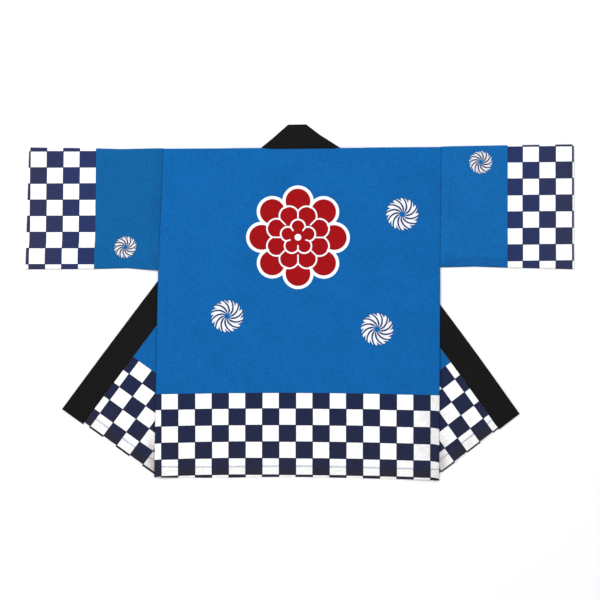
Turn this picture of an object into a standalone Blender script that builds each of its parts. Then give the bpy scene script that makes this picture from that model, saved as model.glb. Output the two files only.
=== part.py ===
"""Happi coat lying flat with its back facing up, as six cloth pieces.

Metres, +Z up. X runs across the coat from the wearer's left cuff to the right one, and Y runs from
the hem to the neck. The origin is on the surface that the coat lies on, under the middle of its
outline.

The fronts lie under the back. Each front is a straight panel whose inner lower part is turned
outward under itself along a slanting fold, so that the collar sewn to it shows beside the body.
The collar band runs from one front's hem round the neck to the other front's hem. The sleeves are
flattened tubes. Each layer rises softly over what lies under it.
"""

import math
from collections import namedtuple

import bmesh
import bpy
from mathutils import Vector

# Cloth and seams
CLOTH = 0.0012
COLLAR_THICK = 0.0030
COLLAR_WIDTH = 0.0600
COLLAR_EDGE_ROUND = 0.0007
COLLAR_BELOW_HEM = 0.0024
SEAM_GAP = 0.0003
LOOSE_GAP = 0.0008
SEAM_PINCH = 0.020

# How a layer settles past the edge of what it lies on
LEVEL_PAST_EDGE = 0.012
RAMP = 0.070

# Grid of the panels
ROWS_BELOW_ARMHOLE = 20
ROWS_AT_ARMHOLE = 12
BACK_COLUMNS = 30
FRONT_COLUMNS = 9
FLAP_COLUMNS = 3
FOLD_STEPS = 4
SLEEVE_STEPS = 9
LEAST_FLAP = 0.003

# Outline of the body, from the hem up
Level = namedtuple("Level", "name left_x left_y right_x right_y")
BODY_LEVELS = (
    Level("hem", -0.3482, -0.4186, 0.3336, -0.4265),
    Level("underarm", -0.3386, 0.0748, 0.3362, 0.0834),
    Level("shoulder", -0.3264, 0.3681, 0.3391, 0.3722),
)

# Cut of each front: where its collar seam lies at the hem, the chest and the shoulder, how far the
# seam bows near the hem, and where and how steeply its fold starts
FrontCut = namedtuple(
    "FrontCut", "side hem_x chest_x shoulder_x bow fold_inset fold_lean_degrees"
)
LEFT_CUT = FrontCut(-1, -0.1173, -0.1190, -0.1290, 0.0, 0.0102, 18.2)
RIGHT_CUT = FrontCut(1, 0.1118, 0.1085, 0.0745, 0.0040, 0.0187, 18.45)
CHEST_ABOVE_HEM = 0.310
SHOULDER_ABOVE_HEM = 0.790
BOW_LENGTH = 0.360
LEG_LENGTH = 0.700

# Collar round the neck, between its two straight legs
NeckSection = namedtuple("NeckSection", "outer_x outer_y inner_x inner_y")
NECK_SECTIONS = (
    NeckSection(-0.0900, 0.3698, -0.0450, 0.3410),
    NeckSection(-0.0590, 0.3975, -0.0230, 0.3570),
    NeckSection(-0.0277, 0.4258, -0.0080, 0.3655),
    NeckSection(0.0154, 0.4265, 0.0100, 0.3660),
    NeckSection(0.0480, 0.4006, 0.0310, 0.3530),
    NeckSection(0.0949, 0.3695, 0.0480, 0.3370),
)

# Outline of each sleeve, from the armhole to the cuff
SleeveSection = namedtuple("SleeveSection", "top_x top_y bottom_x bottom_y")
LEFT_SLEEVE = (
    SleeveSection(-0.3264, 0.3681, -0.3386, 0.0748),
    SleeveSection(-0.4277, 0.3660, -0.4133, 0.0812),
    SleeveSection(-0.4851, 0.3676, -0.4914, 0.0801),
    SleeveSection(-0.6475, 0.3698, -0.6565, 0.0801),
)
RIGHT_SLEEVE = (
    SleeveSection(0.3391, 0.3722, 0.3362, 0.0834),
    SleeveSection(0.4200, 0.3738, 0.4197, 0.0849),
    SleeveSection(0.4962, 0.3750, 0.4974, 0.0838),
    SleeveSection(0.6563, 0.3772, 0.6565, 0.0803),
)

BLUE = (0.012, 0.133, 0.447, 1.0)
BLACK = (0.012, 0.012, 0.014, 1.0)


def smooth(value):
    """Runs from 0 to 1 with a level start and end."""
    value = min(max(value, 0.0), 1.0)
    return value * value * (3.0 - 2.0 * value)


def mix(start, end, share):
    return start + (end - start) * share


def cross(first, second):
    return first.x * second.y - first.y * second.x


def through_three(heights, values, height):
    """The parabola through three points."""
    total = 0.0
    for index, value in enumerate(values):
        weight = 1.0
        for other, other_height in enumerate(heights):
            if other != index:
                weight *= (height - other_height) / (heights[index] - other_height)
        total += value * weight
    return total


# Rows across the body

ROW_COUNT = ROWS_BELOW_ARMHOLE + ROWS_AT_ARMHOLE


def edge_point(side, row):
    """The point of one side edge that a row starts from."""
    hem, underarm, shoulder = BODY_LEVELS
    if row <= ROWS_BELOW_ARMHOLE:
        low, high, share = hem, underarm, row / ROWS_BELOW_ARMHOLE
    else:
        low, high, share = underarm, shoulder, (row - ROWS_BELOW_ARMHOLE) / ROWS_AT_ARMHOLE
    if side < 0:
        return Vector((mix(low.left_x, high.left_x, share), mix(low.left_y, high.left_y, share)))
    return Vector((mix(low.right_x, high.right_x, share), mix(low.right_y, high.right_y, share)))


def row_direction(side, row):
    """Unit vector along a row, from this side edge towards the other."""
    return (edge_point(-side, row) - edge_point(side, row)).normalized()


def fold_start(cut):
    """Where the fold of a front meets its hem."""
    return edge_point(cut.side, 0) + row_direction(cut.side, 0) * cut.fold_inset


def fold_direction(cut):
    lean = math.radians(cut.fold_lean_degrees)
    return Vector((-cut.side * math.sin(lean), math.cos(lean)))


def turned_over(cut, point):
    """A point of the flat front, mirrored in the fold."""
    start = fold_start(cut)
    along = fold_direction(cut)
    offset = point - start
    return start + along * (2.0 * offset.dot(along)) - offset


def seam_x(cut, height):
    """Where the collar seam of the flat front lies at a height above the hem."""
    heights = (0.0, CHEST_ABOVE_HEM, SHOULDER_ABOVE_HEM)
    x = through_three(heights, (cut.hem_x, cut.chest_x, cut.shoulder_x), height)
    return x - cut.side * cut.bow * math.sin(math.pi * min(max(height / BOW_LENGTH, 0.0), 1.0))


def seam_reach(cut, row):
    """Length of a row from the side edge to the collar seam."""
    edge = edge_point(cut.side, row)
    height = edge.y - edge_point(cut.side, 0).y
    return (seam_x(cut, height) - edge.x) / row_direction(cut.side, row).x


def fold_reach(cut, row):
    """Length of a row from the side edge to the fold."""
    edge = edge_point(cut.side, row)
    along = fold_direction(cut)
    return cross(fold_start(cut) - edge, along) / cross(row_direction(cut.side, row), along)


def has_flap(cut, row):
    return fold_reach(cut, row) < seam_reach(cut, row) - LEAST_FLAP


def row_point(cut, row, reach):
    return edge_point(cut.side, row) + row_direction(cut.side, row) * reach


# Outlines seen from above, which the heights are worked out from


def collar_sections():
    """Pairs of outer and inner edge points along the collar, from the left hem to the right."""
    sections = collar_leg(LEFT_CUT)
    for neck in NECK_SECTIONS:
        sections.append((Vector((neck.outer_x, neck.outer_y)), Vector((neck.inner_x, neck.inner_y))))
    return sections + collar_leg(RIGHT_CUT)[::-1]


def collar_leg(cut):
    """The straight stretch of collar that is sewn to one front, turned over with it."""
    sections = []
    for row in range(ROW_COUNT + 1):
        height = edge_point(cut.side, row).y - edge_point(cut.side, 0).y
        if height > LEG_LENGTH:
            break
        start = row_point(cut, row, seam_reach(cut, row))
        if row == 0:
            start = start + Vector((0.0, -COLLAR_BELOW_HEM))
        across = row_direction(cut.side, row)
        inner = turned_over(cut, start + across * SEAM_GAP)
        outer = turned_over(cut, start + across * COLLAR_WIDTH)
        sections.append((outer, inner))
    return sections


def collar_outline():
    sections = collar_sections()
    return [outer for outer, _ in sections] + [inner for _, inner in reversed(sections)]


def flap_outline(cut):
    """The part of a front that is turned outward."""
    rows = [row for row in range(ROW_COUNT + 1) if has_flap(cut, row)]
    fold = [row_point(cut, row, fold_reach(cut, row)) for row in rows]
    edge = [turned_over(cut, row_point(cut, row, seam_reach(cut, row))) for row in rows]
    return fold + edge[::-1]


def front_outline(cut):
    """The part of a front that isn't turned."""
    outline = [edge_point(cut.side, row) for row in range(ROW_COUNT + 1)]
    for row in reversed(range(ROW_COUNT + 1)):
        reach = min(fold_reach(cut, row), seam_reach(cut, row))
        outline.append(row_point(cut, row, reach))
    return outline


def distance_to_line(point, points):
    """Distance from a point to a line of points."""
    nearest = math.inf
    for start, end in zip(points, points[1:]):
        run = end - start
        share = min(max((point - start).dot(run) / run.length_squared, 0.0), 1.0)
        nearest = min(nearest, (point - start - run * share).length)
    return nearest


def distance_outside(point, outline):
    """Distance from a point to an outline, and 0 inside it."""
    inside = False
    for start, end in zip(outline, outline[1:] + outline[:1]):
        if (start.y > point.y) != (end.y > point.y):
            share = (point.y - start.y) / (end.y - start.y)
            if point.x < mix(start.x, end.x, share):
                inside = not inside
    if inside:
        return 0.0
    return distance_to_line(point, outline + outline[:1])


COLLAR_OUTLINE = collar_outline()
FLAP_OUTLINES = (flap_outline(LEFT_CUT), flap_outline(RIGHT_CUT))
FRONT_OUTLINES = (front_outline(LEFT_CUT), front_outline(RIGHT_CUT))
SIDE_SEAMS = (
    [edge_point(-1, row) for row in range(ROW_COUNT + 1)],
    [edge_point(1, row) for row in range(ROW_COUNT + 1)],
)


# Heights of the middle of each layer


def settled(distance):
    """1 over what a layer lies on, falling softly to 0 beside it."""
    return 1.0 - smooth((distance - LEVEL_PAST_EDGE) / RAMP)


def front_height(point):
    """Middle of a layer that lies on the flaps and the collar, or on the surface beside them."""
    to_collar = distance_outside(point, COLLAR_OUTLINE)
    to_flap = min(distance_outside(point, outline) for outline in FLAP_OUTLINES)
    over_flap = (CLOTH + LOOSE_GAP) * settled(min(to_collar, to_flap))
    over_collar = (COLLAR_THICK - CLOTH) * settled(to_collar)
    return CLOTH / 2.0 + over_flap + over_collar


def layer_step(point):
    """From the middle of a front to the middle of what lies on it: least at a seam."""
    to_seam = min(distance_to_line(point, seam) for seam in SIDE_SEAMS)
    return CLOTH + mix(SEAM_GAP, LOOSE_GAP, smooth(to_seam / SEAM_PINCH))


def back_height(point):
    """Middle of the back, which lies on the fronts, the collar and the surface between them."""
    to_front = min(distance_outside(point, outline) for outline in FRONT_OUTLINES)
    return front_height(point) + layer_step(point) * settled(to_front)


# Blender objects


def cloth_material(name, color, roughness):
    material = bpy.data.materials.new(name)
    material.use_nodes = True
    shader = material.node_tree.nodes["Principled BSDF"]
    shader.inputs["Base Color"].default_value = color
    shader.inputs["Roughness"].default_value = roughness
    shader.inputs["Metallic"].default_value = 0.0
    return material


def surface_object(name, rows, closed_rows, color, collection):
    """An open surface through rows of points. Where a row is shorter, the surface ends there."""
    surface = bmesh.new()
    grid = [[surface.verts.new(point) for point in row] for row in rows]
    for low, high in zip(grid, grid[1:]):
        count = min(len(low), len(high))
        for column in range(count if closed_rows else count - 1):
            after = (column + 1) % count
            surface.faces.new((low[column], low[after], high[after], high[column]))
    bmesh.ops.recalc_face_normals(surface, faces=surface.faces)
    mesh = bpy.data.meshes.new(name)
    surface.to_mesh(mesh)
    surface.free()
    mesh.shade_smooth()
    mesh.set_sharp_from_angle(angle=math.radians(60.0))
    mesh.materials.append(cloth_material(name + "_cloth", color, 0.85))
    obj = bpy.data.objects.new(name, mesh)
    collection.objects.link(obj)
    return obj


def give_wall(obj, thickness):
    """A wall with the surface in its middle."""
    wall = obj.modifiers.new("Wall", "SOLIDIFY")
    wall.thickness = thickness
    wall.offset = 0.0
    wall.use_even_offset = True
    wall.use_quality_normals = True


def add_back(collection):
    rows = []
    for row in range(ROW_COUNT + 1):
        left = edge_point(-1, row)
        right = edge_point(1, row)
        points = [left.lerp(right, column / BACK_COLUMNS) for column in range(BACK_COLUMNS + 1)]
        rows.append([Vector((point.x, point.y, back_height(point))) for point in points])
    give_wall(surface_object("back", rows, False, BLUE, collection), CLOTH)


def add_front(name, cut, collection):
    """A front as one sheet: the part under the back, the round fold, and the part turned outward."""
    along = fold_direction(cut)
    inward = Vector((-cut.side * along.y, cut.side * along.x))
    rows = []
    for row in range(ROW_COUNT + 1):
        seam = seam_reach(cut, row)
        end = min(seam, fold_reach(cut, row))
        points = []
        for column in range(FRONT_COLUMNS + 1):
            point = row_point(cut, row, end * column / FRONT_COLUMNS)
            points.append(Vector((point.x, point.y, front_height(point))))
        if has_flap(cut, row):
            fold = row_point(cut, row, end)
            radius = (front_height(fold) - CLOTH / 2.0) / 2.0
            for step in range(1, FOLD_STEPS + 1):
                turn = math.pi * step / FOLD_STEPS
                point = fold + inward * (radius * math.sin(turn))
                height = CLOTH / 2.0 + radius * (1.0 + math.cos(turn))
                points.append(Vector((point.x, point.y, height)))
            for column in range(1, FLAP_COLUMNS + 1):
                flat = row_point(cut, row, mix(end, seam, column / FLAP_COLUMNS))
                point = turned_over(cut, flat)
                points.append(Vector((point.x, point.y, CLOTH / 2.0)))
        rows.append(points)
    give_wall(surface_object(name, rows, False, BLUE, collection), CLOTH)


def add_collar(collection):
    """The folded band, a flat closed strip with rounded edges that lies on the surface."""
    middle = COLLAR_THICK / 2.0
    rows = []
    for outer, inner in collar_sections():
        rows.append([Vector((outer.x, outer.y, middle)), Vector((inner.x, inner.y, middle))])
    band = surface_object("collar", rows, False, BLACK, collection)
    give_wall(band, COLLAR_THICK)
    rounding = band.modifiers.new("Rounded edges", "BEVEL")
    rounding.width = COLLAR_EDGE_ROUND
    rounding.segments = 2
    rounding.limit_method = "ANGLE"
    rounding.angle_limit = math.radians(50.0)


def sleeve_edges(sections, share):
    """Top and bottom edge of a sleeve at a share of the way through its sections."""
    place = share * (len(sections) - 1)
    index = min(int(place), len(sections) - 2)
    near, far, part = sections[index], sections[index + 1], place - index
    top = Vector((mix(near.top_x, far.top_x, part), mix(near.top_y, far.top_y, part)))
    bottom = Vector((mix(near.bottom_x, far.bottom_x, part), mix(near.bottom_y, far.bottom_y, part)))
    return top, bottom


def add_sleeve(name, sections, side, collection):
    """A flattened tube, open at the armhole and the cuff, as rings from the one to the other."""
    rings = []
    for step in range(SLEEVE_STEPS + 1):
        top, bottom = sleeve_edges(sections, step / SLEEVE_STEPS)
        if step == 0:
            top.x += side * SEAM_GAP
            bottom.x += side * SEAM_GAP
        rings.append(flat_ring(top, bottom))
    give_wall(surface_object(name, rings, True, BLUE, collection), CLOTH)


def flat_ring(top, bottom):
    """One ring of a flattened tube: up its lower layer, round its top edge and down its upper one."""
    line = [bottom.lerp(top, index / ROWS_AT_ARMHOLE) for index in range(ROWS_AT_ARMHOLE + 1)]
    upward = (top - bottom).normalized()
    low = [Vector((point.x, point.y, front_height(point))) for point in line]
    high = [point + Vector((0.0, 0.0, layer_step(point.xy))) for point in low]
    ring = list(low)
    ring += edge_turn(low[-1], high[-1], upward)
    ring += high[::-1]
    ring += edge_turn(high[0], low[0], -upward)
    return ring


def edge_turn(start, end, outward):
    """Points of the half circle that joins two layers at an edge, without its ends."""
    radius = (end - start).length / 2.0
    centre = (start + end) / 2.0
    rise = (end - start).z / 2.0
    points = []
    for step in range(1, FOLD_STEPS):
        turn = math.pi * step / FOLD_STEPS
        reach = radius * math.sin(turn)
        height = -rise * math.cos(turn)
        points.append(centre + Vector((outward.x * reach, outward.y * reach, height)))
    return points


def main():
    for obj in list(bpy.data.objects):
        bpy.data.objects.remove(obj)
    coat = bpy.data.collections.new("happi_coat")
    bpy.context.scene.collection.children.link(coat)
    add_back(coat)
    add_front("front_left", LEFT_CUT, coat)
    add_front("front_right", RIGHT_CUT, coat)
    add_collar(coat)
    add_sleeve("sleeve_left", LEFT_SLEEVE, -1, coat)
    add_sleeve("sleeve_right", RIGHT_SLEEVE, 1, coat)


main()
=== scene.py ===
"""Looks for a happi coat that lies flat with its back up.

The coat is printed cotton: a blue ground, a checked band at the hem and the cuffs, white whirl
roundels and one large red blossom on the back, with a black collar band. Each panel is a thin shell
on the form of its solid, in the same frame.
"""

import math
from collections import namedtuple

import bpy
import numpy as np
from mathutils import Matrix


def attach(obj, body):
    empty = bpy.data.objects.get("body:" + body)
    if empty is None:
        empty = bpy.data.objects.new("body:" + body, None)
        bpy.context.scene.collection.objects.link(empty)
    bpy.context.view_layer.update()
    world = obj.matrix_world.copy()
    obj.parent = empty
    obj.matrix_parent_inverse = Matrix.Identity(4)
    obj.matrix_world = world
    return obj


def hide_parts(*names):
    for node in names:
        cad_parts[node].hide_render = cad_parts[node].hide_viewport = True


bl_info = {
    "name": "Happi Coat",
    "version": (1, 0, 0),
    "blender": (4, 5, 0),
    "location": "3D View > Sidebar > Happi Coat",
    "description": "Builds a printed cotton happi coat that lies flat with its back up",
    "category": "Add Mesh",
}

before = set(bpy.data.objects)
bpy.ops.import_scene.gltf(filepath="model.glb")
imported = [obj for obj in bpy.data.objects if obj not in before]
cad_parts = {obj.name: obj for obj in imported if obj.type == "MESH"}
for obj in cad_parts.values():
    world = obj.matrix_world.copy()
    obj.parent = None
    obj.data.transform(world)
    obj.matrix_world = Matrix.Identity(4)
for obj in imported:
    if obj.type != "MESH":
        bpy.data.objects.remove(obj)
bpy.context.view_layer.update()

# The form of the solids: wall, gaps and how a layer settles past the edge of what it lies on
WALL = 0.0012
COLLAR_THICK = 0.0030
COLLAR_WIDTH = 0.0600
COLLAR_BELOW_HEM = 0.0024
SEAM_GAP = 0.0003
LOOSE_GAP = 0.0008
SEAM_PINCH = 0.020
LEVEL_PAST_EDGE = 0.012
RAMP = 0.070
LEAST_FLAP = 0.003

# Steps of the meshes: beside an edge, at a hem's stitching, where an allowance ends, round folds
EDGE_PLACES = np.array((0.0, 0.0007, 0.0018, 0.0036))
STITCHING_PLACES = np.array((-0.0022, -0.0011, 0.0, 0.0011, 0.0022))
ALLOWANCE_PLACES = np.array((0.0, 0.0015, 0.0030))
FOLD_STEPS = 6
COLLAR_RING = 24
HIDDEN_FRONT_COLUMNS = 31
LOWER_SLEEVE_COLUMNS = 41
BODY_WIDTH = 0.680
FLAP_WIDTH = 0.220
SLEEVE_DEPTH = 0.292
SLEEVE_LENGTH = 0.320

# Outline of the body at the hem, the underarms and the shoulders, and how far up each lies
Level = namedtuple("Level", "left_x left_y right_x right_y")
BODY_LEVELS = (
    Level(-0.3482, -0.4186, 0.3336, -0.4265),
    Level(-0.3386, 0.0748, 0.3362, 0.0834),
    Level(-0.3264, 0.3681, 0.3391, 0.3722),
)
BODY_SHARES = (0.0, 0.625, 1.0)
BODY_LENGTH = 0.790

# How far the back's hem lies above a straight line between its corners, by place across
HEM_RISE = (
    (-0.340, -0.231, -0.150, -0.071, 0.010, 0.089, 0.171, 0.250, 0.334),
    (0.0, 0.0001, 0.0019, 0.0040, 0.0050, 0.0041, 0.0031, 0.0023, 0.0010),
)
HEM_RISE_FROM = 0.030
HEM_RISE_RUN = 0.070

# How far the neck edge lies below the line of the shoulders, by place across
NECK_DIP = (
    (-0.092, -0.070, 0.080, 0.095, 0.140, 0.170),
    (0.0, 0.0028, 0.0028, 0.0012, 0.0010, 0.0),
)
NECK_DIP_FROM = 0.700
NECK_DIP_RUN = 0.085

# Cut of each front: its collar seam at three heights, the seam's bow, and its fold
FrontCut = namedtuple("FrontCut", "side hem_x chest_x shoulder_x bow fold_inset fold_lean_degrees")
LEFT_CUT = FrontCut(-1, -0.1173, -0.1190, -0.1290, 0.0, 0.0102, 18.2)
RIGHT_CUT = FrontCut(1, 0.1118, 0.1085, 0.0745, 0.0040, 0.0187, 18.45)
CHEST_ABOVE_HEM = 0.310
BOW_LENGTH = 0.360
LEG_LENGTH = 0.700

# Collar round the neck, between its two straight legs, which are a little wider
NeckSection = namedtuple("NeckSection", "outer_x outer_y inner_x inner_y")
NECK_SECTIONS = (
    NeckSection(-0.0900, 0.3698, -0.0450, 0.3410),
    NeckSection(-0.0590, 0.3975, -0.0230, 0.3570),
    NeckSection(-0.0277, 0.4258, -0.0080, 0.3630),
    NeckSection(0.0154, 0.4265, 0.0100, 0.3635),
    NeckSection(0.0480, 0.4006, 0.0310, 0.3530),
    NeckSection(0.0949, 0.3695, 0.0480, 0.3370),
)
LEG_WIDER = 0.04
LEG_WIDER_UP_TO = 0.343
LEG_WIDER_RUN = 0.020
COLLAR_END_SHARE = 0.82
COLLAR_END_RING = 0.0008
COLLAR_EDGE_POWER = 0.22
COLLAR_FACE_POWER = 0.35
COLLAR_STITCHING = 0.0030
COLLAR_DIP = 0.00030
COLLAR_DIP_WIDTH = 0.0016
CORNER_TURN = 0.05

# Where the checked bands lie, how uneven the back's one is, and how the sleeves' ones lean
BACK_CHECK_LEFT = 0.0173
BACK_CHECK_TOPS = (0.2013, 0.2068)
BACK_CHECK_BOW = 0.0042
BACK_CHECK_EASE = 0.0020
BACK_CHECK_EASE_BELOW = 0.030
BACK_CHECK_EASE_UP = 0.028
BACK_CHECK_EASE_DOWN = 0.030
BACK_CHECK_SCALE = 0.04023
BACK_CHECK_ROW = ((-0.348, -0.270, -0.170, 0.0, 0.334), (0.0398, 0.0396, 0.0395, 0.0397, 0.0400))
BACK_CHECK_SAG = ((-0.348, -0.330, 0.315, 0.327, 0.334), (0.0012, 0.0, 0.0, 0.0010, 0.0032))
BACK_CHECK_SAG_RUN = 0.090
FrontCheck = namedtuple("FrontCheck", "top inset square")
LEFT_FRONT_CHECK = FrontCheck(0.1990, 0.0165, 0.0390)
RIGHT_FRONT_CHECK = FrontCheck(0.1965, 0.0155, 0.0387)
SleeveCheck = namedtuple(
    "SleeveCheck", "top_x bottom_x first_row row column fold_ease slope column_ease bottom_lean"
)
LEFT_CHECK = SleeveCheck(-0.4868, -0.4898, 0.0072, 0.0386, 0.0393, 0.0, 0.016, 0.0, 0.0021)
RIGHT_CHECK = SleeveCheck(0.4974, 0.4976, 0.0017, 0.0394, 0.0395, 0.0022, 0.004, 0.0030, 0.0)
SLEEVE_LOW = 0.0801
SLEEVE_HIGH = 0.3690
LEAN_ABOVE_LOW = 0.072
LEAN_RUN = 0.035
EASE_RUN = 0.030

# Round motifs: centre in the frame, radius, turn, swirl of the blades, gap and colour
Whirl = namedtuple("Whirl", "x y radius turn_degrees swirl gap color")
SWIRL = 0.985
LARGE = (SWIRL, 0.113, (0.82, 0.84, 0.88))
SMALL = (0.128, (0.74, 0.74, 0.76))
BACK_WHIRLS = (
    Whirl(0.2455, 0.2112, 0.0384, 0.0, *LARGE),
    Whirl(-0.1737, -0.0329, 0.0386, 11.0, *LARGE),
    Whirl(0.1854, -0.0640, 0.0386, 5.0, *LARGE),
)
Blossom = namedtuple("Blossom", "x y radius")
BACK_BLOSSOM = Blossom(-0.0040, 0.1560, 0.1240)
PetalRing = namedtuple("PetalRing", "petals turn reach size slit_start")
OUTER_PETALS = PetalRing(8, 0.0, 0.700, 0.300, 0.50)
INNER_PETALS = (
    PetalRing(8, math.pi / 8.0, 0.445, 0.205, 0.32),
    PetalRing(5, 0.0, 0.205, 0.155, 0.14),
)

# Shares by which blue and white are dulled beside a seam, how far, and how evenly. On the flaps this
# greying is painted shade beside the body's edge.
Greyed = namedtuple(
    "Greyed",
    "blue white reach low_share tone hardness",
    defaults=(0.0, 0.0, 0.030, 0.0, (0.42, 0.43, 0.44), 0.2),
)
BACK_GREYED = Greyed(0.0, 0.31, 0.090)

# The two fronts, and the two sleeves with their outlines from the armhole to the cuff
Front = namedtuple("Front", "name cut check greyed")
# The flaps' whites are greyed pinkish beside the body's edge, most near the hem: painted shade of the
# back's edge and of small puckers
FRONTS = (
    Front(
        "front_left", LEFT_CUT, LEFT_FRONT_CHECK, Greyed(0.0, 0.66, 0.030, 0.80, (0.37, 0.31, 0.29))
    ),
    Front(
        "front_right", RIGHT_CUT, RIGHT_FRONT_CHECK, Greyed(0.0, 0.56, 0.028, 0.80, (0.37, 0.31, 0.33))
    ),
)
SleeveSection = namedtuple("SleeveSection", "top_x top_y bottom_x bottom_y")
Sleeve = namedtuple("Sleeve", "name side sections check whirl blue greyed")
SLEEVES = (
    Sleeve(
        "sleeve_left",
        -1,
        (
            SleeveSection(-0.3264, 0.3681, -0.3386, 0.0778),
            SleeveSection(-0.4277, 0.3660, -0.4133, 0.0834),
            SleeveSection(-0.4851, 0.3676, -0.4914, 0.0814),
            SleeveSection(-0.6475, 0.3698, -0.6565, 0.0806),
        ),
        LEFT_CHECK,
        Whirl(-0.4176, 0.1306, 0.0272, 18.0, SWIRL, *SMALL),
        (0.0012, 0.104, 0.304),
        Greyed(0.20),
    ),
    Sleeve(
        "sleeve_right",
        1,
        (
            SleeveSection(0.3391, 0.3722, 0.3362, 0.0852),
            SleeveSection(0.4200, 0.3738, 0.4197, 0.0872),
            SleeveSection(0.4962, 0.3750, 0.4974, 0.0846),
            SleeveSection(0.6563, 0.3772, 0.6565, 0.0808),
        ),
        RIGHT_CHECK,
        Whirl(0.4334, 0.3343, 0.0284, 7.0, -SWIRL, *SMALL),
        (0.0022, 0.118, 0.374),
        Greyed(0.30, 0.0, 0.023, hardness=0.86),
    ),
)

# Soft ridges that lying has left in the cloth: ends, half width and height
Crease = namedtuple("Crease", "x1 y1 x2 y2 width height")
BACK_CREASES = (
    Crease(-0.300, 0.300, -0.160, 0.180, 0.034, 0.0011),
    Crease(-0.310, 0.060, -0.190, 0.010, 0.030, 0.0012),
    Crease(-0.270, -0.120, -0.200, -0.330, 0.036, 0.0010),
    Crease(-0.080, -0.060, -0.060, -0.250, 0.040, 0.0011),
    Crease(0.060, 0.020, 0.090, -0.180, 0.036, 0.0012),
    Crease(0.150, 0.320, 0.200, 0.120, 0.040, 0.0009),
    Crease(0.315, 0.050, 0.235, -0.060, 0.026, 0.0014),
    Crease(0.310, -0.080, 0.270, -0.260, 0.024, 0.0015),
    Crease(0.020, -0.300, 0.180, -0.330, 0.030, 0.0008),
    Crease(-0.060, 0.330, 0.050, 0.345, 0.024, 0.0007),
)
SLEEVE_CREASES = (
    Crease(-0.352, 0.340, -0.360, 0.110, 0.016, 0.0010),
    Crease(-0.400, 0.330, -0.470, 0.150, 0.030, 0.0009),
    Crease(-0.560, 0.320, -0.600, 0.140, 0.030, 0.0008),
    Crease(0.352, 0.330, 0.356, 0.120, 0.014, 0.0008),
    Crease(0.380, 0.160, 0.480, 0.300, 0.032, 0.0010),
    Crease(0.560, 0.140, 0.600, 0.330, 0.030, 0.0008),
)
FLAP_CREASES = (
    Crease(-0.470, -0.200, -0.380, -0.300, 0.022, 0.0008),
    Crease(-0.382, -0.372, -0.352, -0.398, 0.007, 0.0011),
    Crease(-0.376, -0.330, -0.354, -0.352, 0.006, 0.0008),
    Crease(0.390, -0.190, 0.440, -0.280, 0.022, 0.0008),
    Crease(0.380, -0.372, 0.346, -0.396, 0.007, 0.0011),
    Crease(0.372, -0.338, 0.346, -0.358, 0.006, 0.0008),
)

# Slight unevenness of the cloth: two bent waves and a ripple
Wave = namedtuple("Wave", "length height turn bend bend_length")
WAVES = (Wave(0.19, 0.00022, 0.0, 0.24, 0.47), Wave(0.23, 0.00018, 1.3, 0.20, 0.39))
RIPPLE_LENGTH = 0.083
RIPPLE_HEIGHT = 0.00005
RIPPLE_SLANT = 0.7
RIPPLE_TURN = 0.6

# Relief of the sewing
ALLOWANCE_LIFT = 0.00030
ALLOWANCE_END = 0.003
SEAM_DIP = 0.00030
SEAM_ROUND = 0.003
SHOULDER_DIP = 0.00035
EDGE_ROUND = 0.004
HEM_LIFT = 0.00035
HEM_ROUND = 0.002
HEM_DRAWN = 0.00022
HEM_DRAWN_WIDTH = 0.0022
FLAP_LIFT = 0.00022
FLAP_LEVEL_BESIDE_BODY = 0.016
SLEEVE_EASE = 0.020


def length_setting(name, description, default):
    """A length that a user can change."""
    return bpy.props.FloatProperty(name=name, description=description, default=default, unit="LENGTH")


def color_setting(name, description, default):
    """A colour that a user can change."""
    return bpy.props.FloatVectorProperty(
        name=name, description=description, default=default, subtype="COLOR"
    )


class HappiSizes(bpy.types.PropertyGroup):
    """Sizes of the coat's cloth and sewing."""

    shell: length_setting("Cloth", "Thickness of the cloth shell", 0.0009)
    grid: length_setting("Grid", "Step of the panels' meshes", 0.005)
    check_square: length_setting("Check", "Side of one printed square", 0.04023)
    dot_gain: length_setting("Dot gain", "Spread of the dark ink at a square's edge", 0.0008)
    hem_depth: length_setting("Hem", "Height of the hem's stitching", 0.0258)
    allowance: length_setting("Allowance", "Width of the seam allowance", 0.022)
    stitch: length_setting("Stitch", "Length of one stitch", 0.0028)
    stitch_gap: length_setting("Stitch gap", "Gap between stitches", 0.0009)
    thread: length_setting("Thread", "Thickness of the thread", 0.0005)
    weave: length_setting("Weave", "Distance from thread to thread", 0.0008)


class HappiColors(bpy.types.PropertyGroup):
    """Colours of the coat's cloth, print and thread."""

    blue: color_setting("Blue", "Ground of the cloth", (0.0006, 0.110, 0.362))
    navy: color_setting("Navy", "Dark squares beside the blue", (0.0100, 0.0167, 0.0576))
    edge_navy: color_setting("Edge navy", "Dark squares at the hem", (0.0142, 0.0183, 0.0490))
    cuff_navy: color_setting("Cuff navy", "Dark squares of the cuffs", (0.0167, 0.0282, 0.1078))
    cuff_edge_navy: color_setting("Cuff edge navy", "The same at a cuff's end", (0.0262, 0.0314, 0.0828))
    white: color_setting("White", "White squares and motifs", (0.94, 0.94, 0.945))
    red: color_setting("Red", "Blossom", (0.325, 0.0030, 0.0055))
    black: color_setting("Black", "Collar", (0.0062, 0.0062, 0.0066))
    thread: color_setting("Thread", "Hem thread", (0.050, 0.055, 0.130))


# Plain numbers


def mix(start, end, share):
    return start + (end - start) * share


def rising(values, start, run):
    """Goes softly from 0 at a start to 1 at the end of a run."""
    share = np.clip((values - start) / run, 0.0, 1.0)
    return share * share * (3.0 - 2.0 * share)


def falling(values, start, run):
    return 1.0 - rising(values, start, run)


def rounded(values, power):
    return np.sign(values) * np.abs(values) ** power


def between(places, stops, points):
    """Points at places between stops where the points are known."""
    return np.stack([np.interp(places, stops, column) for column in np.transpose(points)], axis=-1)


def lengths_along(points):
    """How far each point of a line lies from its start."""
    return np.concatenate([[0.0], np.cumsum(np.linalg.norm(np.diff(points, axis=0), axis=1))])


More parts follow.
